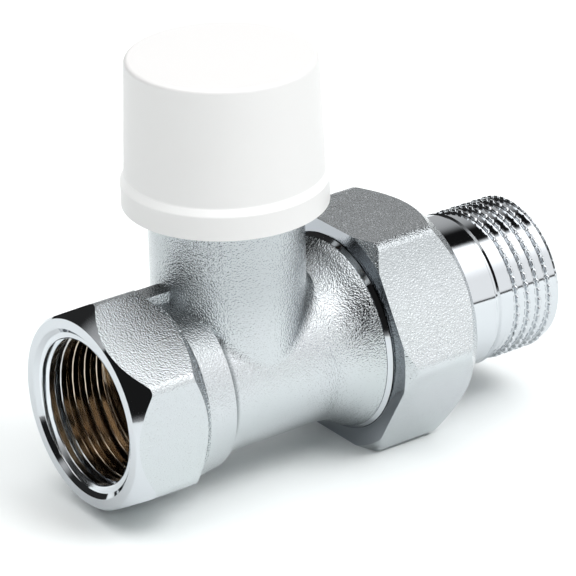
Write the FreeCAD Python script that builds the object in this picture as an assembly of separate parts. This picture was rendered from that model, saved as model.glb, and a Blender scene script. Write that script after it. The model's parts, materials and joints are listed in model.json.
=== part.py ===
"""Straight lockshield radiator valve, half-inch: forged body, headwork, union and protective cap.

The pipe axis is X, from the female pipe end (x = 0) to the radiator tailpiece.
The spindle axis is Z, upwards through the neck. All lengths are in millimetres.
"""
import FreeCAD, Part
import math
import os

V = FreeCAD.Vector

# Clearances
THREAD_GAP = 0.3            # between the two sides of a thread that turns, drawn as plain cylinders
FIT_GAP = 0.05              # pieces that are screwed or pressed together
RUN_GAP = 0.05              # spindle in its bearing bore
SLIDE_GAP = 0.3             # guided and loose pieces
SEAT_GAP = 0.2              # flat faces of two moving pieces that meet

# Female pipe end: G 1/2 thread in a forged hexagon with a corner at the top
inlet_r = 10.53             # root of the thread, whose ridges are too fine for the solid
inlet_depth = 10.5
countersink_r = 11.15
countersink_slope = 0.82    # depth per millimetre of radius
face_land = 1.3
hex_flats = 25.4
hex_round = 1.6
hex_length = 10.7
hex_front_slope = 1.32      # chamfer length per millimetre of radius
hex_back_slope = 1.0
hex_back_r = 12.6

# Forged collar behind the hexagon
collar_gap = 0.5
collar_depth = 0.5
collar_r = 12.5
collar_end_r = 11.9
collar_length = 4.3
collar_step = 0.6

# Barrel, its bell-shaped flare and the union thread
barrel_r = 10.64
wall = 2.3
flare_start = 31.2
flare_end = 38.33
flare_r = 12.89
flare_lip = 0.8
flare_bend_x = 35.1         # a point that the bell's curve passes through
flare_bend_r = 11.2
flare_groove = 0.1          # turned line between the flare and the shoulder
flare_groove_depth = 0.15
shoulder_length = 0.62
shoulder_r = 13.34
union_relief = 0.35
union_r = 13.1
union_end = 46.5
union_chamfer = 0.7

# Neck and its rib
neck_x = 22.9
neck_r = 9.95
neck_top = 25.0
neck_blend = 2.2
neck_chamfer = 0.4
rib_width = 2.8
rib_height = 13.7
rib_end = 14.6

# Passages: a stepped web carries the seat
web = 2.0
chamber_r = 7.4
seat_bore_r = 4.6
seat_lip = 1.0
seat_lip_width = 0.8
web_reach = 6.0

# Union seat, tailpiece and nut
seat_cone_length = 4.0
seat_cone_r = 10.2
tail_end = 69.45
tail_r = 10.4775
tail_thread_length = 10.2
tail_groove = 0.8
tail_groove_depth = 0.25
tail_chamfer = 0.5
tail_collar_r = 12.0
tail_collar_length = 2.6
tail_bore_r = 5.9
tail_key_flats = 12.1
tail_key_depth = 19.0
tail_mouth_r = 7.4
nose_length = 3.3
tail_ring_r = 0.65
tail_ring_proud = 0.1
tail_ring_back = 1.6
nut_flats = 30.0
nut_round = 1.9
nut_front_gap = 0.1
nut_length = 13.15
nut_face_r = 15.8
nut_front_slope = 0.9
nut_back_r = 14.1
nut_back_slope = 1.1

# Headwork, from the neck's top
gasket_thickness = 1.0
gasket_width = 1.6
bonnet_thread_r = 8.0
bonnet_thread_length = 7.5
bonnet_flats = 18.0
bonnet_hex_height = 5.5
bonnet_chamfer = 0.6
bonnet_boss_r = 7.0
bonnet_boss_height = 2.5
skirt_wall = 1.4
skirt_length = 5.5
spindle_r = 3.5
spindle_top = 1.0
spindle_collar_r = 4.4
spindle_collar_height = 1.6
thrust_washer = 0.5
spindle_thread_r = 2.4
key_flats = 4.0
key_depth = 4.5
ring_section_r = 0.45
ring_rise = 2.0
ring_spacing = 2.6
retainer_thickness = 0.8
retainer_r = 5.2
retainer_groove = 0.5
retainer_mouth = 0.83       # opening of the snap ring, as a share of its groove's width

# Shutter with its seal, at the closed end of its stroke
stroke = 4.0
stem_r = 5.2
stem_flat = 4.4
stem_top = 18.0
stem_wall_below = 1.6
shutter_r = 6.5
shutter_disc = 1.8
shutter_lip = 1.0
seal_r = 5.9
seal_thickness = 2.2
screw_r = 1.5
screw_head_r = 2.6
screw_head_height = 1.4
screw_slot = 0.7
screw_bevel = 0.3
screw_washer_r = 3.2
screw_washer = 0.6
screw_grip = 2.4

# Protective cap
cap_bottom = 23.18
cap_top = 42.45
cap_rim_r = 13.16
cap_rim_height = 3.15
cap_bevel = 0.9
cap_wall_r = 12.7
cap_top_r = 12.12
cap_top_round = 0.6
cap_wall = 1.35
cap_roof = 1.6
cap_rib = 1.2
cap_rib_reach = 0.9

# Heights that follow from the sizes above
seat_z = web / 2 + seat_lip
seal_z = seat_z + SLIDE_GAP
disc_z = seal_z + seal_thickness
stem_z = disc_z + shutter_disc
screw_top = disc_z + screw_grip
spindle_foot = screw_top + stem_wall_below + stroke + SLIDE_GAP
collar_z = stem_top + stroke + SLIDE_GAP
shoulder_z = collar_z + spindle_collar_height + thrust_washer + SEAT_GAP / 2
hex_z = neck_top + gasket_thickness
hex_top = hex_z + bonnet_hex_height
boss_top = hex_top + bonnet_boss_height
retainer_z = boss_top + SEAT_GAP / 2
spindle_end = retainer_z + retainer_thickness + spindle_top
ring_low_z = shoulder_z + ring_rise
ring_high_z = ring_low_z + ring_spacing
passage_r = barrel_r - wall
shoulder_end = flare_end + shoulder_length
nut_front = shoulder_end + nut_front_gap
nut_back = nut_front + nut_length
tail_collar_x = union_end + SLIDE_GAP
tail_collar_end = tail_collar_x + tail_collar_length
thread_start = tail_end - tail_thread_length

ACROSS = V(1, 0, 0)
UP = V(0, 0, 1)


def section_point(point):
    return V(point[0], 0, point[1])


def outline(points):
    """A closed wire in the XZ plane: a point is (x, z), and an arc is (through point, end point)."""
    edges = []
    here = section_point(points[0])
    for point in points[1:] + points[:1]:
        if isinstance(point[0], tuple):
            through, end = (section_point(p) for p in point)
            edges.append(Part.Arc(here, through, end).toShape())
        else:
            end = section_point(point)
            edges.append(Part.LineSegment(here, end).toShape())
        here = end
    return Part.Wire(edges)


def turned_x(points):
    """A solid turned about the pipe axis, from points (x, radius), with its seam underneath."""
    section = Part.Face(outline(points))
    section.rotate(V(0, 0, 0), ACROSS, 180)
    return section.revolve(V(0, 0, 0), ACROSS, 360)


def turned_z(points):
    """A solid turned about the spindle axis, from points (radius, z)."""
    section = Part.Face(outline(points))
    section.translate(V(neck_x, 0, 0))
    return section.revolve(V(neck_x, 0, 0), UP, 360)


def rod_x(radius, start, end):
    return Part.makeCylinder(radius, end - start, V(start, 0, 0), ACROSS)


def rod_z(radius, bottom, top):
    return Part.makeCylinder(radius, top - bottom, V(neck_x, 0, bottom), UP)


def ring_z(inner, outer, bottom, top):
    return turned_z([(inner, bottom), (outer, bottom), (outer, top), (inner, top)])


def hexagon_x(flats, start, end, turn):
    """A hexagonal bar along the pipe axis, with a corner at the angle turn from +Y towards +Z."""
    corner = flats / math.sqrt(3)
    angles = [math.radians(turn + 60 * k) for k in range(7)]
    wire = Part.makePolygon([V(start, corner * math.cos(a), corner * math.sin(a)) for a in angles])
    return Part.Face(wire).extrude(V(end - start, 0, 0))


def hexagon_z(flats, bottom, top):
    """A hexagonal bar on the spindle axis, with flats facing along Y."""
    corner = flats / math.sqrt(3)
    angles = [math.radians(60 * k) for k in range(7)]
    wire = Part.makePolygon([V(neck_x + corner * math.cos(a), corner * math.sin(a), bottom) for a in angles])
    return Part.Face(wire).extrude(V(0, 0, top - bottom))


def round_long_edges(bar, radius, direction):
    """Rounds the edges of a bar that run along a direction."""
    edges = [e for e in bar.Edges if abs(e.tangentAt(e.FirstParameter).dot(direction)) > 0.99]
    return bar.makeFillet(radius, edges)


def chamfered_hexagon(flats, rounding, turn, start, end, front_r, front_slope, back_r, back_slope):
    """A forged hexagon on the pipe axis, its ends turned to cones that start at front_r and back_r."""
    bar = round_long_edges(hexagon_x(flats, start, end, turn), rounding, ACROSS)
    corner = flats / math.sqrt(3) + 1
    cones = turned_x([(start, 0), (start, front_r), (start + (corner - front_r) * front_slope, corner),
                      (end - (corner - back_r) * back_slope, corner), (end, back_r), (end, 0)])
    return bar.common(cones)


def flatted_rod(radius, flat, bottom, top):
    """A rod on the spindle axis with two flats facing along Y."""
    block = Part.makeBox(4 * radius, 2 * flat, top - bottom, V(neck_x - 2 * radius, -flat, bottom))
    return rod_z(radius, bottom, top).common(block)


def body_outside():
    """The forging: hexagon, collar, barrel with flare, union thread, ball-footed neck and rib."""
    face_r = countersink_r + face_land
    hexagon = chamfered_hexagon(hex_flats, hex_round, 90, 0, hex_length, face_r, hex_front_slope,
                                hex_back_r, hex_back_slope)
    collar_start = hex_length + collar_gap
    collar_end = collar_start + collar_length
    collar_foot = collar_end + collar_step
    barrel = turned_x([
        (hex_length / 2, 0), (hex_length / 2, collar_r - collar_depth), (hex_length, collar_r - collar_depth),
        (collar_start, collar_r), (collar_end, collar_end_r), (collar_foot, barrel_r),
        (flare_end, barrel_r), (flare_end, 0)])
    ball = neck_r * math.sqrt(0.5)
    neck = turned_z([(0, -neck_r), ((ball, -ball), (neck_r, 0)), (neck_r, neck_top - neck_chamfer),
                     (neck_r - neck_chamfer, neck_top), (0, neck_top)])
    forging = hexagon.fuse([barrel, neck]).removeSplitter()
    forging = forging.makeFillet(neck_blend, neck_root_edges(forging, collar_foot))
    rib = Part.makeBox(rib_end - hex_length / 2, rib_width, rib_height, V(hex_length / 2, -rib_width / 2, 0))
    return forging.fuse([rib, union_end_outside()]).removeSplitter()


def union_end_outside():
    """The bell-shaped flare of the barrel, the bevelled shoulder and the union thread behind them."""
    lip_start = flare_end - flare_lip
    relief_r = union_r - union_chamfer
    thread_x = shoulder_end + union_relief
    groove_r = flare_r - flare_groove_depth
    bevel_x = flare_end + flare_groove
    return turned_x([
        (flare_start, 0), (flare_start, barrel_r),
        ((flare_bend_x, flare_bend_r), (lip_start, flare_r - flare_lip / 2)),
        (flare_end, flare_r), (flare_end, groove_r), (bevel_x, groove_r), (bevel_x, flare_r),
        (shoulder_end, shoulder_r), (shoulder_end, relief_r), (thread_x, relief_r), (thread_x, union_r),
        (union_end - union_chamfer, union_r), (union_end, relief_r), (union_end, 0)])


def neck_root_edges(forging, collar_foot):
    """The curved edges where the neck grows out of the barrel and its flare, behind the collar."""
    edges = []
    for edge in forging.Edges:
        if edge.Degenerated:
            continue
        points = edge.discretize(5)
        on_neck = all(abs(math.hypot(p.x - neck_x, p.y) - neck_r) < 0.01 for p in points)
        below_top = all(p.z < neck_top - 1 for p in points)
        behind = all(p.x > collar_foot - 0.01 for p in points)
        straight = isinstance(edge.Curve, Part.Line)
        if on_neck and below_top and behind and not straight:
            edges.append(edge)
    return edges


def body_passages():
    """Everything that is hollow: pipe thread, inlet under the seat, chamber, outlet and union cone."""
    countersink_end = (countersink_r - inlet_r) * countersink_slope
    inlet = turned_x([(-1, 0), (-1, countersink_r), (0, countersink_r), (countersink_end, inlet_r),
                      (inlet_depth, inlet_r), (inlet_depth, 0)])
    far = 2 * union_end
    below = Part.makeBox(far, far, far, V(0, -far / 2, -far - web / 2))
    above = Part.makeBox(far, far, far, V(0, -far / 2, web / 2))
    inlet_mouth = rod_x(passage_r, inlet_depth - 1, neck_x - chamber_r - web)
    under_seat = rod_x(passage_r, inlet_depth - 1, neck_x + web_reach).common(below)
    seat_bore = rod_z(seat_bore_r, -web, web)
    chamber = rod_z(chamber_r, web / 2, neck_top - bonnet_thread_length)
    bonnet_bore = rod_z(bonnet_thread_r, neck_top - bonnet_thread_length, neck_top + 1)
    web_back = neck_x + web_reach + web
    over_seat = rod_x(passage_r, neck_x, web_back + 1).common(above)
    cone_start = union_end - seat_cone_length
    outlet = turned_x([(web_back, 0), (web_back, passage_r), (cone_start, passage_r),
                       (union_end, seat_cone_r), (union_end + 1, seat_cone_r), (union_end + 1, 0)])
    return inlet.fuse([inlet_mouth, under_seat, seat_bore, chamber, bonnet_bore, over_seat, outlet])


def valve_body():
    lip = ring_z(seat_bore_r, seat_bore_r + seat_lip_width, web / 4, seat_z)
    return body_outside().cut(body_passages()).fuse(lip).removeSplitter()


def nose_r(x):
    """Radius of the tailpiece's nose, which lies a gap inside the body's seat cone."""
    slope = (seat_cone_r - passage_r) / seat_cone_length
    return seat_cone_r - (union_end - x) * slope - SLIDE_GAP


def tailpiece_ring_place():
    """Centre of the union O-ring's section: (x, radius)."""
    x = tail_collar_x - tail_ring_back
    return x, nose_r(x) + tail_ring_proud - tail_ring_r


def tailpiece():
    nose_x = tail_collar_x - nose_length
    ring_x, ring_r = tailpiece_ring_place()
    groove_start = thread_start - tail_groove
    outside = turned_x([
        (nose_x, 0), (nose_x, nose_r(nose_x)), (ring_x - tail_ring_r, nose_r(ring_x - tail_ring_r)),
        (ring_x - tail_ring_r, ring_r - tail_ring_r), (ring_x + tail_ring_r, ring_r - tail_ring_r),
        (ring_x + tail_ring_r, nose_r(ring_x + tail_ring_r)), (tail_collar_x, nose_r(tail_collar_x)),
        (tail_collar_x, tail_collar_r), (tail_collar_end, tail_collar_r), (tail_collar_end, tail_r),
        (groove_start, tail_r), (groove_start + tail_groove_depth, tail_r - tail_groove_depth),
        (thread_start - tail_groove_depth, tail_r - tail_groove_depth), (thread_start, tail_r),
        (tail_end - tail_chamfer, tail_r), (tail_end, tail_r - tail_chamfer), (tail_end, 0)])
    bore = rod_x(tail_bore_r, nose_x - 1, tail_end)
    key = hexagon_x(tail_key_flats, tail_end - tail_key_depth, tail_end + 1, 90)
    mouth_start = tail_end - (tail_mouth_r - tail_bore_r)
    mouth = turned_x([(mouth_start, 0), (mouth_start, tail_bore_r), (tail_end, tail_mouth_r),
                      (tail_end + 1, tail_mouth_r), (tail_end + 1, 0)])
    return outside.cut(bore.fuse([key, mouth]))


def tailpiece_o_ring():
    ring_x, ring_r = tailpiece_ring_place()
    return Part.makeTorus(ring_r, tail_ring_r, V(ring_x, 0, 0), ACROSS)


def union_nut():
    nut = chamfered_hexagon(nut_flats, nut_round, 0, nut_front, nut_back, nut_face_r, nut_front_slope,
                            nut_back_r, nut_back_slope)
    bore_r = union_r + THREAD_GAP
    shoulder_x = tail_collar_end + SEAT_GAP
    hole_r = tail_r + THREAD_GAP
    hollow = turned_x([(nut_front - 1, 0), (nut_front - 1, bore_r), (shoulder_x, bore_r),
                       (shoulder_x, hole_r), (nut_back + 1, hole_r), (nut_back + 1, 0)])
    return nut.cut(hollow)


def headwork_bonnet():
    thread_r = bonnet_thread_r - FIT_GAP
    thread_z = neck_top - bonnet_thread_length + FIT_GAP
    guide_r = stem_r + SLIDE_GAP
    skirt_r = guide_r + skirt_wall
    skirt_z = thread_z - skirt_length
    lower = turned_z([(0, skirt_z), (skirt_r, skirt_z), (skirt_r, thread_z), (thread_r, thread_z),
                      (thread_r, hex_z), (0, hex_z)])
    corner = bonnet_flats / math.sqrt(3)
    cone = turned_z([(0, hex_z), (corner, hex_z), (corner, hex_top - bonnet_chamfer),
                     (bonnet_flats / 2, hex_top), (0, hex_top)])
    hexagon = hexagon_z(bonnet_flats, hex_z, hex_top).common(cone)
    boss = rod_z(bonnet_boss_r, hex_top, boss_top)
    guide = flatted_rod(guide_r, stem_flat + SLIDE_GAP, skirt_z - 1, shoulder_z)
    bore = rod_z(spindle_r + RUN_GAP, shoulder_z - 1, boss_top + 1)
    return lower.fuse([hexagon, boss]).removeSplitter().cut(guide.fuse(bore))


def bonnet_gasket():
    inner = bonnet_thread_r + FIT_GAP
    return ring_z(inner, inner + gasket_width, neck_top, hex_z)


def regulating_spindle():
    groove_r = spindle_r - 2 * ring_section_r - RUN_GAP
    half = ring_section_r + RUN_GAP
    steps = [(0, spindle_foot), (spindle_thread_r, spindle_foot), (spindle_thread_r, collar_z),
             (spindle_collar_r, collar_z), (spindle_collar_r, collar_z + spindle_collar_height),
             (spindle_r, collar_z + spindle_collar_height)]
    for z in (ring_low_z, ring_high_z):
        steps += [(spindle_r, z - half), (groove_r, z - half), (groove_r, z + half), (spindle_r, z + half)]
    clip_r = spindle_r - retainer_groove
    steps += [(spindle_r, retainer_z), (clip_r, retainer_z), (clip_r, retainer_z + retainer_thickness),
              (spindle_r, retainer_z + retainer_thickness), (spindle_r, spindle_end), (0, spindle_end)]
    return turned_z(steps).cut(hexagon_z(key_flats, spindle_end - key_depth, spindle_end + 1))


def spindle_o_ring(z):
    return Part.makeTorus(spindle_r - ring_section_r - RUN_GAP / 2, ring_section_r, V(neck_x, 0, z), UP)


def spindle_thrust_washer():
    bottom = collar_z + spindle_collar_height
    return ring_z(spindle_r + FIT_GAP, spindle_collar_r, bottom, bottom + thrust_washer)


def spindle_retaining_ring():
    """An open snap ring in the spindle's top groove."""
    groove_r = spindle_r - retainer_groove
    ring = ring_z(groove_r + FIT_GAP, retainer_r, retainer_z, retainer_z + retainer_thickness)
    mouth_half = groove_r * retainer_mouth
    mouth = Part.makeBox(2 * retainer_r, 2 * mouth_half, retainer_thickness, V(neck_x, -mouth_half, retainer_z))
    return ring.cut(mouth)


def shutter():
    cup_r = seal_r + FIT_GAP
    lip_z = disc_z - shutter_lip
    disc = turned_z([(0, disc_z), (cup_r, disc_z), (cup_r, lip_z), (shutter_r, lip_z),
                     (shutter_r, stem_z), (0, stem_z)])
    stem = flatted_rod(stem_r, stem_flat, stem_z, stem_top)
    thread = rod_z(spindle_thread_r + SLIDE_GAP, screw_top + stem_wall_below, stem_top + 1)
    screw_hole = rod_z(screw_r + FIT_GAP, disc_z - 1, screw_top + FIT_GAP)
    return disc.fuse(stem).removeSplitter().cut(thread.fuse(screw_hole))


def shutter_seal():
    return ring_z(screw_r + FIT_GAP, seal_r, seal_z, disc_z)


def shutter_washer():
    return ring_z(screw_r + FIT_GAP, screw_washer_r, seal_z - screw_washer, seal_z)


def shutter_screw():
    top = seal_z - screw_washer
    bottom = top - screw_head_height
    slot = Part.makeBox(4 * screw_head_r, screw_slot, screw_slot,
                        V(neck_x - 2 * screw_head_r, -screw_slot / 2, bottom))
    screw = turned_z([(0, bottom), (screw_head_r - screw_bevel, bottom), (screw_head_r, bottom + screw_bevel),
                      (screw_head_r, top), (screw_r, top), (screw_r, screw_top), (0, screw_top)])
    return screw.cut(slot)


def protective_cap():
    """A thin drafted shell with six inner ribs that stand on the bonnet's hexagon."""
    sag = cap_top_round * (1 - math.sqrt(0.5))
    shell = turned_z([
        (0, cap_top), (cap_top_r - cap_top_round, cap_top),
        ((cap_top_r - sag, cap_top - sag), (cap_top_r, cap_top - cap_top_round)),
        (cap_wall_r, cap_bottom + cap_rim_height + cap_bevel), (cap_rim_r, cap_bottom + cap_rim_height),
        (cap_rim_r, cap_bottom), (cap_wall_r - cap_wall, cap_bottom),
        (cap_top_r - cap_wall, cap_top - cap_roof), (0, cap_top - cap_roof)])
    rest_z = hex_top + SEAT_GAP
    outer = cap_top_r - cap_wall / 2
    grip = bonnet_flats / 2 + SLIDE_GAP
    rest = bonnet_flats / 2 - cap_rib_reach
    profile = [(grip, hex_z), (outer, hex_z), (outer, cap_top - cap_roof / 2), (rest, cap_top - cap_roof / 2),
               (rest, rest_z), (grip, rest_z)]
    wire = Part.makePolygon([V(neck_x + r, -cap_rib / 2, z) for r, z in profile + profile[:1]])
    rib = Part.Face(wire).extrude(V(0, cap_rib, 0))
    ribs = []
    for k in range(6):
        copy = rib.copy()
        copy.rotate(V(neck_x, 0, 0), UP, 30 + 60 * k)
        ribs.append(copy)
    return shell.fuse(ribs).removeSplitter()


PIECES = {
    "valve_body": valve_body,
    "union_nut": union_nut,
    "tailpiece": tailpiece,
    "tailpiece_o_ring": tailpiece_o_ring,
    "headwork_bonnet": headwork_bonnet,
    "bonnet_gasket": bonnet_gasket,
    "regulating_spindle": regulating_spindle,
    "spindle_o_ring_upper": lambda: spindle_o_ring(ring_high_z),
    "spindle_o_ring_lower": lambda: spindle_o_ring(ring_low_z),
    "spindle_thrust_washer": spindle_thrust_washer,
    "spindle_retaining_ring": spindle_retaining_ring,
    "shutter": shutter,
    "shutter_seal": shutter_seal,
    "shutter_washer": shutter_washer,
    "shutter_screw": shutter_screw,
    "protective_cap": protective_cap,
}

os.makedirs("parts", exist_ok=True)
for name, make in PIECES.items():
    shape = make()
    shape.exportStep("parts/" + name + ".step")
    box = shape.BoundBox
    print(name, len(shape.Solids), shape.isValid(), round(shape.Volume, 1),
          [round(v, 2) for v in (box.XMin, box.XMax, box.YMin, box.YMax, box.ZMin, box.ZMax)])
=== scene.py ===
"""Look of a straight lockshield radiator valve: finishes, threads, floor, light and camera.

Lengths are in metres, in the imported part's frame: X along the pipe from its female end, Z up the spindle.
"""
from collections import namedtuple
import json
import math

import bmesh
import bpy
from mathutils import Matrix, Vector


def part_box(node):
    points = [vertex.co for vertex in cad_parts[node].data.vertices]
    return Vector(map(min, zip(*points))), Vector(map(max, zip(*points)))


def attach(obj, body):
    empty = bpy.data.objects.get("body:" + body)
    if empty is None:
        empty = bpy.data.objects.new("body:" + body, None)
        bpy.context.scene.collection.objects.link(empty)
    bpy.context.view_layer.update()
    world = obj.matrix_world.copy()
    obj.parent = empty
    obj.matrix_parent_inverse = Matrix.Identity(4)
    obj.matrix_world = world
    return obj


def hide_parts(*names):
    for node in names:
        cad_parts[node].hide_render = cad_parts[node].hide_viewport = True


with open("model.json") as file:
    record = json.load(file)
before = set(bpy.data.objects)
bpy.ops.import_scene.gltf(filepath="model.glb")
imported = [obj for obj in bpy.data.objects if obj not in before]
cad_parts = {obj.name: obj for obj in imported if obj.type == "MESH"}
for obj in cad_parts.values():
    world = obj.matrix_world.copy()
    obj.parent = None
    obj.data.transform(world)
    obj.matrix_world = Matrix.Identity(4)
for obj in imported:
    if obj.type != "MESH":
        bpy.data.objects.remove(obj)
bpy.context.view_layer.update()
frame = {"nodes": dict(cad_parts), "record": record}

MM = 0.001

# Pipe threads: half-inch on the tailpiece and in the female end, three-quarter-inch under the nut
PITCH = 1.814 * MM
ROW_STEP = 0.065 * MM                   # longest step of a thread's faces along X
THREAD_COLUMNS = 256                    # faces round a thread without serrations

# Tailpiece
TAIL_THREAD_LENGTH = 10.2 * MM
TAIL_THREAD_DEPTH = 0.5 * MM
TAIL_CREST_R = 10.4775 * MM
TAIL_CREST_HALF = 0.07                  # in pitches, as are the next two
TAIL_FLANK_END = 0.19
TAIL_PHASE = -0.14
TAIL_UNDERCUT = 1.75 * MM               # length of the groove at the thread's start
TAIL_BEVEL = 0.25 * MM                  # length of each of the groove's two sides
TAIL_END_R = 9.9 * MM
TAIL_MOUTH_R = 7.4 * MM
NOTCHES = 48                            # serrations round the thread's crests
NOTCH_DEPTH = 0.25 * MM
NOTCH_SHARE = 0.40                      # of the way from one notch to the next
NOTCH_STEEPNESS = 3                     # a notch is full over all but a third of its width
NOTCH_COLUMNS = 10

# Female pipe end
INLET_DEPTH = 10.5 * MM
INLET_ROOT_R = 10.53 * MM
INLET_THREAD_DEPTH = 0.9 * MM
INLET_CREST_HALF = 0.24                 # in pitches, as is the next one
INLET_FLANK_END = 0.47
INLET_RUN_OUT = 0.9 * MM
COUNTERSINK_R = 11.15 * MM
COUNTERSINK_SLOPE = 0.82                # length along X for a step in radius
LEAD_SLOPE = 0.3                        # the same, from the countersink in to the thread's crests
PLATED_DEPTH = 3.4 * MM
PLATED_FADE = 0.5 * MM
PASSAGE_R = 10.6 * MM                   # all faces nearer to the pipe axis lie inside the body

# Union end, under the nut
UNION_START = 39.3 * MM
UNION_END = 45.8 * MM
UNION_R = 13.1 * MM
UNION_THREAD_DEPTH = 0.8 * MM
UNION_CREST_HALF = 0.12                 # in pitches, as is the next one
UNION_FLANK_END = 0.42
UNION_RUN_OUT = 0.7 * MM

# Outside of the body: places along X, where its plating changes tone, and where painted shade darkens it
HEX_MIDDLE = 5.3 * MM
COLLAR_FOOT = 16.2 * MM
FLARE_END = 38.34 * MM
CREASE_HALF = 0.5 * MM                  # painted shade: a dark line in the crease at the collar's foot, along X
CREASE_SOFT = 0.35 * MM
CREASE_R = 11.3 * MM
CREASE_R_SOFT = 0.2 * MM
NECK_SHADE_START = 6 * MM                     # heights between which painted shade darkens it, up the neck
NECK_SHADE_END = 16 * MM

# Cap: where a highlight is painted along the rim's bevel
RIM_BEVEL = 26.8 * MM                   # height of the middle of the rim's bevel
RIM_BEVEL_HALF = 0.5 * MM
RIM_BEVEL_SOFT = 0.2 * MM

# How the meshes are made
FORGED, TURNED, IN_PASSAGE = range(3)   # places in a forging's list of finishes
HEX_TURNED = -0.2                       # normals of turned front faces point at least this far along -X
NUT_TURNED = -0.8
SMOOTH_ANGLE = math.radians(24)
ON_SURFACE = 0.06 * MM
JOIN_WITHIN = 0.001 * MM

# Where the valve touches the floor: the nut's lower flat and the hexagon's lowest corner
FLOOR_UNDER_NUT = Vector((0.03905, 0, -0.015))
FLOOR_UNDER_HEXAGON = Vector((0.0026, 0, -0.01442))
FLOOR_HALF = 12.0

# Camera, as in the photograph
CAMERA_AT = Vector((-0.200633, -0.327010, 0.195658))
CAMERA_AIM = Vector((0.033481, 0.001784, 0.007019))
CAMERA_ROLL = math.radians(-1.317)
CAMERA_LENS = 214.79                    # in millimetres, as is the sensor
CAMERA_SENSOR = 36.0
CAMERA_CLIP = 0.01, 50.0

# Studio: azimuths from the valve's -Y side towards +X, in degrees like every angle of a panel
Panel = namedtuple("Panel", "azimuth elevation half_width half_height soft level")
WALL_LEVEL = 0.60                       # brightness between the panels
PANELS = (                              # a later one covers those before it
    Panel(0, 90, 180, 31, 4, 2.7),      # soft box overhead
    Panel(48, 24, 42, 23, 3, 1.3),      # white screen, front right
    Panel(48, 66, 42, 26, 14, 2.6),     # soft box above it
    Panel(120, 44, 12, 20, 14, 0.2),    # dim wall, behind right
    Panel(108, 48, 20, 17, 8, 0.01),    # dark corner beside it
    Panel(50, 0, 70, 1.5, 0.5, 0.12),   # dark line along the foot of the white screen
    Panel(-60, 32, 41, 30, 4, 0.015),   # dark behind the camera
    Panel(-160, 18, 46, 28, 8, 0.03),   # dark corner, behind left
)
Lamp = namedtuple("Lamp", "name place size power")    # size across, and power in watts
LAMPS = (
    Lamp("overhead", (0.08, 0.20, 2.0), 4.4, 84.0),
    Lamp("front_right", (0.8, -1.15, 1.5), 1.2, 23.0),
    Lamp("side_left", (-1.4, -1.0, 0.8), 1.0, 7.0),
)


def link(obj):
    """Puts an object in the scene."""
    bpy.context.scene.collection.objects.link(obj)
    return obj


# Node trees
class Nodes:
    """Short ways to add nodes to a material or a world."""

    def __init__(self, owner):
        owner.use_nodes = True
        self.tree = owner.node_tree

    def add(self, kind):
        return self.tree.nodes.new(kind)

    def join(self, source, target):
        """Links an output to an input, or sets the input to a number or a colour."""
        if isinstance(source, tuple):
            target.default_value = (*source, 1.0)
        elif isinstance(source, (int, float)):
            target.default_value = source
        else:
            self.tree.links.new(source, target)

    def math(self, operation, *values):
        node = self.add("ShaderNodeMath")
        node.operation = operation
        for socket, value in zip(node.inputs, values):
            self.join(value, socket)
        return node.outputs[0]

    def split(self, vector):
        node = self.add("ShaderNodeSeparateXYZ")
        self.join(vector, node.inputs[0])
        return node.outputs

    def spread(self, value, low, high, start=0.3, end=0.7):
        """Maps start to end, by default the usual range of noise, softly onto low to high."""
        node = self.add("ShaderNodeMapRange")
        node.interpolation_type = "SMOOTHSTEP"
        sockets = ("Value", "From Min", "From Max", "To Min", "To Max")
        for socket, number in zip(sockets, (value, start, end, low, high)):
            self.join(number, node.inputs[socket])
        return node.outputs[0]

    def edge(self, distance, half, soft):
        """1 inside a half width, 0 outside it, with a soft edge."""
        return self.spread(distance, 1.0, 0.0, half - soft, half + soft)

    def band(self, value, middle, half, soft):
        """1 within a half width of a middle value, 0 farther off, with soft edges."""
        return self.edge(self.math("ABSOLUTE", self.math("SUBTRACT", value, middle)), half, soft)

    def mix(self, kind, share, first, second):
        node = self.add("ShaderNodeMix")
        node.data_type = kind
        for socket, value in (("Factor", share), ("A", first), ("B", second)):
            self.join(value, node.inputs[socket])
        return node.outputs["Result"]

    def fade(self, share, first, second):
        """A number between two numbers."""
        return self.mix("FLOAT", share, first, second)

    def blend(self, share, first, second):
        """A colour between two colours."""
        return self.mix("RGBA", share, first, second)


class Finish(Nodes):
    """A material with one Principled surface, of one colour and roughness until nodes vary them."""

    def __init__(self, name, color, roughness, metallic=0.0):
        self.material = bpy.data.materials.new(name)
        super().__init__(self.material)
        self.material.diffuse_color = (*color, 1.0)
        self.surface = self.tree.nodes["Principled BSDF"].inputs
        self.paint(color)
        self.join(roughness, self.surface["Roughness"])
        self.join(metallic, self.surface["Metallic"])
        self.place = self.add("ShaderNodeTexCoord").outputs["Object"]

    def paint(self, color):
        """Sets the base colour, or takes it from nodes."""
        self.join(color, self.surface["Base Color"])

    def noise(self, scale, detail=2.0):
        """Noise in space; at a scale of 1000 its marks are about a millimetre wide."""
        node = self.add("ShaderNodeTexNoise")
        self.join(scale, node.inputs["Scale"])
        self.join(detail, node.inputs["Detail"])
        self.join(self.place, node.inputs["Vector"])
        return node.outputs[0]

    def pipe_radius(self):
        """Distance from the pipe axis."""
        _, y, z = self.split(self.place)
        return self.math("SQRT", self.math("ADD", self.math("MULTIPLY", y, y), self.math("MULTIPLY", z, z)))

    def vary_roughness(self, scale, low, high):
        """Lets the roughness change from patch to patch."""
        self.join(self.spread(self.noise(scale), low, high), self.surface["Roughness"])

    def bump(self, height, depth):
        """Raises the surface by a height of 0 to 1 times a depth."""
        node = self.add("ShaderNodeBump")
        self.join(depth, node.inputs["Distance"])
        self.join(height, node.inputs["Height"])
        self.join(node.outputs[0], self.surface["Normal"])

    def grain(self, scale, depth, detail=2.0):
        """Raises the surface by noise."""
        self.bump(self.noise(scale, detail), depth)


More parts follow.
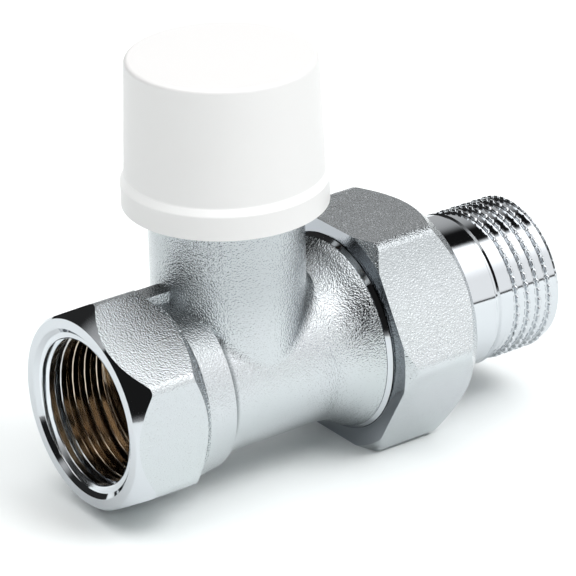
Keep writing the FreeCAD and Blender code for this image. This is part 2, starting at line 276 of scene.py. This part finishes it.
def plated_forging():
    """Chrome over a grit-blasted forging: fine grain, painted shade that darkens the neck, and a painted
    shadow line in the crease behind the collar.
    """
    finish = Finish("plated_forging", (0.495, 0.525, 0.545), roughness=0.08, metallic=1.0)
    finish.vary_roughness(scale=180.0, low=0.05, high=0.10)
    x, _, z = finish.split(finish.place)
    patches = finish.blend(finish.noise(scale=90.0), (0.515, 0.56, 0.56), (0.54, 0.555, 0.585))
    # painted shade: the colour turns darker up the neck
    up_neck = finish.spread(z, 0.0, 1.0, NECK_SHADE_START, NECK_SHADE_END)
    shaded_neck = finish.blend(up_neck, patches, (0.42, 0.445, 0.46))
    # painted shade: a dark line where the collar meets the barrel
    crease = finish.math("MULTIPLY", finish.band(x, COLLAR_FOOT, CREASE_HALF, CREASE_SOFT),
                         finish.edge(finish.pipe_radius(), CREASE_R, CREASE_R_SOFT))
    finish.paint(finish.blend(crease, shaded_neck, (0.22, 0.24, 0.25)))
    finish.grain(scale=4600.0, depth=0.115 * MM, detail=1.6)
    return finish.material


def plated_turned(name, color):
    """Chrome over a turned surface, with the tool's fine rings."""
    finish = Finish(name, color, roughness=0.06, metallic=1.0)
    x = finish.split(finish.place)[0]
    rings = finish.add("ShaderNodeTexNoise")
    rings.noise_dimensions = "1D"
    finish.join(9000.0, rings.inputs["Scale"])
    finish.join(finish.math("ADD", x, finish.pipe_radius()), rings.inputs["W"])
    finish.bump(rings.outputs[0], depth=0.003 * MM)
    return finish.material


def plated_thread():
    """Chrome on the female end's first threads, which gives way to the dull brass of the passages."""
    chrome = (0.66, 0.69, 0.72)
    finish = Finish("plated_thread", chrome, roughness=0.12, metallic=1.0)
    plated = finish.edge(finish.split(finish.place)[0], PLATED_DEPTH, PLATED_FADE)
    finish.paint(finish.blend(plated, (0.62, 0.53, 0.425), chrome))
    return finish.material


def bare_brass():
    finish = Finish("bare_brass", (0.75, 0.52, 0.20), roughness=0.24, metallic=1.0)
    finish.vary_roughness(scale=300.0, low=0.18, high=0.34)
    finish.grain(scale=2600.0, depth=0.008 * MM)
    return finish.material


def spring_steel():
    finish = Finish("spring_steel", (0.56, 0.56, 0.57), roughness=0.3, metallic=1.0)
    finish.grain(scale=3000.0, depth=0.008 * MM)
    return finish.material


def rubber_seal():
    finish = Finish("rubber_seal", (0.016, 0.016, 0.017), roughness=0.45)
    finish.grain(scale=1800.0, depth=0.006 * MM)
    return finish.material


def fibre_gasket():
    """Pressed red fibre, mottled."""
    finish = Finish("fibre_gasket", (0.30, 0.085, 0.05), roughness=0.75)
    finish.paint(finish.blend(finish.noise(scale=2500.0), (0.24, 0.07, 0.04), (0.36, 0.11, 0.07)))
    finish.grain(scale=2500.0, depth=0.02 * MM)
    return finish.material


def slip_washer():
    finish = Finish("slip_washer", (0.82, 0.82, 0.80), roughness=0.4)
    finish.grain(scale=1500.0, depth=0.004 * MM)
    return finish.material


def white_cap():
    """Smooth white moulded plastic, with a painted highlight along the rim's bevel."""
    white = (0.73, 0.725, 0.72)
    finish = Finish("white_cap", white, roughness=0.36)
    # painted highlight: a lighter colour along the rim's bevel
    bevel_highlight = finish.band(finish.split(finish.place)[2], RIM_BEVEL, RIM_BEVEL_HALF, RIM_BEVEL_SOFT)
    finish.paint(finish.blend(bevel_highlight, white, (0.88, 0.88, 0.875)))
    finish.grain(scale=500.0, depth=0.012 * MM)
    return finish.material


SLOT_FINISHES = {
    "plated_forging": plated_forging(),
    "plated_turned": plated_turned("plated_turned", (0.565, 0.59, 0.615)),
    "bare_brass": bare_brass(),
    "spring_steel": spring_steel(),
    "rubber_seal": rubber_seal(),
    "fibre_gasket": fibre_gasket(),
    "slip_washer": slip_washer(),
    "white_cap": white_cap(),
}
# painted shade: a darker copy of the turned chrome for the nut's front face
NUT_FACE_SHADED_FINISH = plated_turned("turned_painted_shade", (0.40, 0.42, 0.45))
THREAD_FINISH = plated_thread()


def coat_cad_nodes():
    """Gives each CAD node the finish of its material slot."""
    for row in frame["record"]["subparts"]:
        mesh = frame["nodes"][row["node"]].data
        mesh.materials.clear()
        mesh.materials.append(SLOT_FINISHES[row["material_slot"]])


# Meshes that stand for CAD nodes
def pipe_distance(point):
    return math.hypot(point.y, point.z)


def on_cylinder(point, start, end, radius):
    """Whether a point lies on a stretch of a cylinder about the pipe axis."""
    return start < point.x < end and abs(pipe_distance(point) - radius) < ON_SURFACE


def joined_mesh(node):
    """The faces of a CAD node with its doubled corner points joined."""
    mesh = bmesh.new()
    mesh.from_mesh(frame["nodes"][node].data)
    bmesh.ops.remove_doubles(mesh, verts=mesh.verts, dist=JOIN_WITHIN)
    return mesh


def cut_away(mesh, chosen):
    """Deletes the faces that a test picks by their middle point."""
    faces = [face for face in mesh.faces if chosen(face.calc_center_median())]
    bmesh.ops.delete(mesh, geom=faces, context="FACES")


def add_round_skin(mesh, rows, columns, material=0, inward=False):
    """Adds a grid of faces that closes round the pipe axis.

    Each row is a function that gives a point (x, radius) for an angle about that axis.
    """
    rings = []
    for row in rows:
        ring = []
        for column in range(columns):
            angle = math.tau * column / columns
            x, radius = row(angle)
            ring.append(mesh.verts.new((x, radius * math.cos(angle), radius * math.sin(angle))))
        rings.append(ring)
    for here, after in zip(rings, rings[1:]):
        for column in range(columns):
            corners = [here[column - 1], here[column], after[column], after[column - 1]]
            face = mesh.faces.new(corners[::-1] if inward else corners)
            face.material_index = material


def mark_turned_front(mesh, end, slope):
    """Marks the faces before x = end as turned where their normals point along -X as far as a slope."""
    mesh.normal_update()
    for face in mesh.faces:
        turned = face.calc_center_median().x < end and face.normal.x < slope
        face.material_index = TURNED if turned else FORGED


def show_piece(name, mesh, node, body, finishes):
    """Makes the object that stands for a CAD node, shaded smooth between its sharp edges."""
    for edge in mesh.edges:
        edge.smooth = edge.is_manifold and edge.calc_face_angle() < SMOOTH_ANGLE
    data = bpy.data.meshes.new(name)
    mesh.to_mesh(data)
    mesh.free()
    data.attributes.remove(data.attributes["custom_normal"])    # stored with the CAD mesh
    data.shade_smooth()
    for finish in finishes:
        data.materials.append(finish)
    piece = link(bpy.data.objects.new(name, data))
    weigh = piece.modifiers.new("flat faces stay flat", "WEIGHTED_NORMAL")
    weigh.keep_sharp = True
    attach(piece, body)
    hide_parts(node)


def clipped(value):
    return min(max(value, 0.0), 1.0)


def eased(value):
    """A soft step from 0 to 1."""
    value = clipped(value)
    return value * value * (3 - 2 * value)


def steps(start, end, size):
    """Even steps from start to end, none longer than a size."""
    count = max(1, math.ceil((end - start) / size))
    return [start + (end - start) * k / count for k in range(count + 1)]


def helix(x, angle):
    """Turns along a thread; its crests lie at whole turns."""
    return x / PITCH - angle / math.tau


def flank(turns, crest_half, flank_end):
    """How far a place lies down a thread's flank: 0 on the crest, 1 in the root."""
    from_crest = abs((turns + 0.5) % 1.0 - 0.5)
    return clipped((from_crest - crest_half) / (flank_end - crest_half))


def notch(angle):
    """How deep a place lies in a serration, from 0 to 1."""
    from_middle = abs(2 * ((angle * NOTCHES / math.tau) % 1.0) - 1)
    return clipped(NOTCH_STEEPNESS * (1 - from_middle / NOTCH_SHARE))


def make_tailpiece():
    """The tailpiece with its male thread, serrated along the crests."""
    tail_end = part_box("tailpiece")[1].x
    thread_start = tail_end - TAIL_THREAD_LENGTH

    def thread_row(x):
        undercut = eased((thread_start + TAIL_UNDERCUT - x) / TAIL_BEVEL)
        run_in = clipped((x - thread_start) / TAIL_BEVEL)
        end_bevel = TAIL_END_R + tail_end - x

        def point(angle):
            turns = helix(x - thread_start, angle) + TAIL_PHASE
            dip = max(eased(flank(turns, TAIL_CREST_HALF, TAIL_FLANK_END)), undercut)
            cut = TAIL_THREAD_DEPTH * dip + NOTCH_DEPTH * notch(angle) * (1 - dip)
            return x, min(TAIL_CREST_R - cut * run_in, end_bevel)
        return point

    def on_thread_or_end(p):
        return p.x > thread_start + ON_SURFACE and pipe_distance(p) > TAIL_MOUTH_R + ON_SURFACE

    mesh = joined_mesh("tailpiece")
    cut_away(mesh, on_thread_or_end)
    rows = [thread_row(x) for x in steps(thread_start, tail_end, ROW_STEP)]
    rows.append(lambda angle: (tail_end, TAIL_MOUTH_R))
    add_round_skin(mesh, rows, NOTCHES * NOTCH_COLUMNS)
    show_piece("tailpiece_threaded", mesh, "tailpiece", "tail",
               [SLOT_FINISHES["plated_turned"]])


def make_valve_body():
    """The forging with turned faces and a thread at each end."""
    cone_end = (COUNTERSINK_R - INLET_ROOT_R) * COUNTERSINK_SLOPE

    def inlet_row(x):
        run_out = min(1.0, (INLET_DEPTH - x) / INLET_RUN_OUT)
        lead = INLET_ROOT_R - (x - cone_end) / LEAD_SLOPE

        def point(angle):
            dip = flank(helix(x, angle), INLET_CREST_HALF, INLET_FLANK_END)
            return x, max(INLET_ROOT_R - INLET_THREAD_DEPTH * (1 - dip) * run_out, lead)
        return point

    def union_row(x):
        run_out = clipped(min(x - UNION_START, UNION_END - x) / UNION_RUN_OUT)

        def point(angle):
            dip = flank(helix(x, angle), UNION_CREST_HALF, UNION_FLANK_END)
            return x, UNION_R - UNION_THREAD_DEPTH * dip * run_out
        return point

    mesh = joined_mesh("valve_body")
    cut_away(mesh, lambda p: on_cylinder(p, cone_end, INLET_DEPTH, INLET_ROOT_R))
    cut_away(mesh, lambda p: on_cylinder(p, UNION_START, UNION_END, UNION_R))
    mark_turned_front(mesh, HEX_MIDDLE, HEX_TURNED)
    for face in mesh.faces:
        middle = face.calc_center_median()
        if middle.x > FLARE_END:
            face.material_index = TURNED
        if middle.x > INLET_DEPTH - ON_SURFACE and pipe_distance(middle) < PASSAGE_R:
            face.material_index = IN_PASSAGE
    rows = [inlet_row(x) for x in steps(cone_end, INLET_DEPTH, ROW_STEP)]
    add_round_skin(mesh, rows, THREAD_COLUMNS, material=IN_PASSAGE, inward=True)
    rows = [union_row(x) for x in steps(UNION_START, UNION_END, ROW_STEP)]
    add_round_skin(mesh, rows, THREAD_COLUMNS, material=TURNED)
    show_piece("valve_body_threaded", mesh, "valve_body", "housing",
               [SLOT_FINISHES["plated_forging"], SLOT_FINISHES["plated_turned"], THREAD_FINISH])


def make_union_nut():
    """The nut with a turned front face, in a darker copy of the turned chrome as painted shade."""
    low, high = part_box("union_nut")
    mesh = joined_mesh("union_nut")
    mark_turned_front(mesh, (low.x + high.x) / 2, NUT_TURNED)
    show_piece("union_nut_finished", mesh, "union_nut", "nut",
               [SLOT_FINISHES["plated_forging"], NUT_FACE_SHADED_FINISH])


def make_cap():
    mesh = joined_mesh("protective_cap")
    show_piece("protective_cap_smooth", mesh, "protective_cap", "cap",
               [SLOT_FINISHES["white_cap"]])


# Stage
def make_floor():
    """A plain white floor through the two places where the valve touches it."""
    data = bpy.data.meshes.new("floor")
    run = (FLOOR_UNDER_NUT - FLOOR_UNDER_HEXAGON).normalized()
    side = Vector((0, 1, 0))
    corners = [FLOOR_UNDER_NUT + FLOOR_HALF * (along * run + across * side)
               for along, across in ((-1, -1), (1, -1), (1, 1), (-1, 1))]
    data.from_pydata(corners, [], [(0, 1, 2, 3)])
    floor = Finish("floor", (0.95, 0.98, 0.98), roughness=0.6)
    floor.join(0.2, floor.surface["Specular IOR Level"])
    data.materials.append(floor.material)
    link(bpy.data.objects.new("floor", data))


def make_world():
    """A studio's walls as panels of light and dark, which the chrome mirrors."""
    world = bpy.data.worlds.new("studio")
    bpy.context.scene.world = world
    sky = Nodes(world)
    x, y, z = sky.split(sky.add("ShaderNodeTexCoord").outputs["Generated"])
    azimuth = sky.math("DEGREES", sky.math("ARCTAN2", x, sky.math("MULTIPLY", y, -1.0)))
    elevation = sky.math("DEGREES", sky.math("ARCSINE", z))
    level = WALL_LEVEL
    for panel in PANELS:
        turn = sky.math("WRAP", sky.math("SUBTRACT", azimuth, panel.azimuth), 180.0, -180.0)
        inside = sky.math("MULTIPLY", sky.band(turn, 0.0, panel.half_width, panel.soft),
                          sky.band(elevation, panel.elevation, panel.half_height, panel.soft))
        level = sky.fade(inside, level, panel.level)
    sky.join(level, world.node_tree.nodes["Background"].inputs["Color"])
    world.cycles_visibility.diffuse = False


def make_lamps():
    """Soft lamps that light the floor and the cap and aren't mirrored in the chrome."""
    for lamp in LAMPS:
        data = bpy.data.lights.new(lamp.name, "AREA")
        data.shape = "DISK"
        data.size = lamp.size
        data.energy = lamp.power
        light = link(bpy.data.objects.new(lamp.name, data))
        light.location = lamp.place
        light.rotation_euler = Vector(lamp.place).to_track_quat("Z", "Y").to_euler()
        light.visible_glossy = False


def make_camera():
    data = bpy.data.cameras.new("camera")
    data.sensor_width = CAMERA_SENSOR
    data.lens = CAMERA_LENS
    data.clip_start, data.clip_end = CAMERA_CLIP
    camera = link(bpy.data.objects.new("camera", data))
    look = (CAMERA_AIM - CAMERA_AT).to_track_quat("-Z", "Y").to_matrix().to_4x4()
    camera.matrix_world = Matrix.Translation(CAMERA_AT) @ look @ Matrix.Rotation(CAMERA_ROLL, 4, "Z")
    bpy.context.scene.camera = camera


coat_cad_nodes()
make_valve_body()
make_union_nut()
make_tailpiece()
make_cap()
make_floor()
make_world()
make_lamps()
make_camera()
bpy.context.scene.view_settings.view_transform = "Standard"
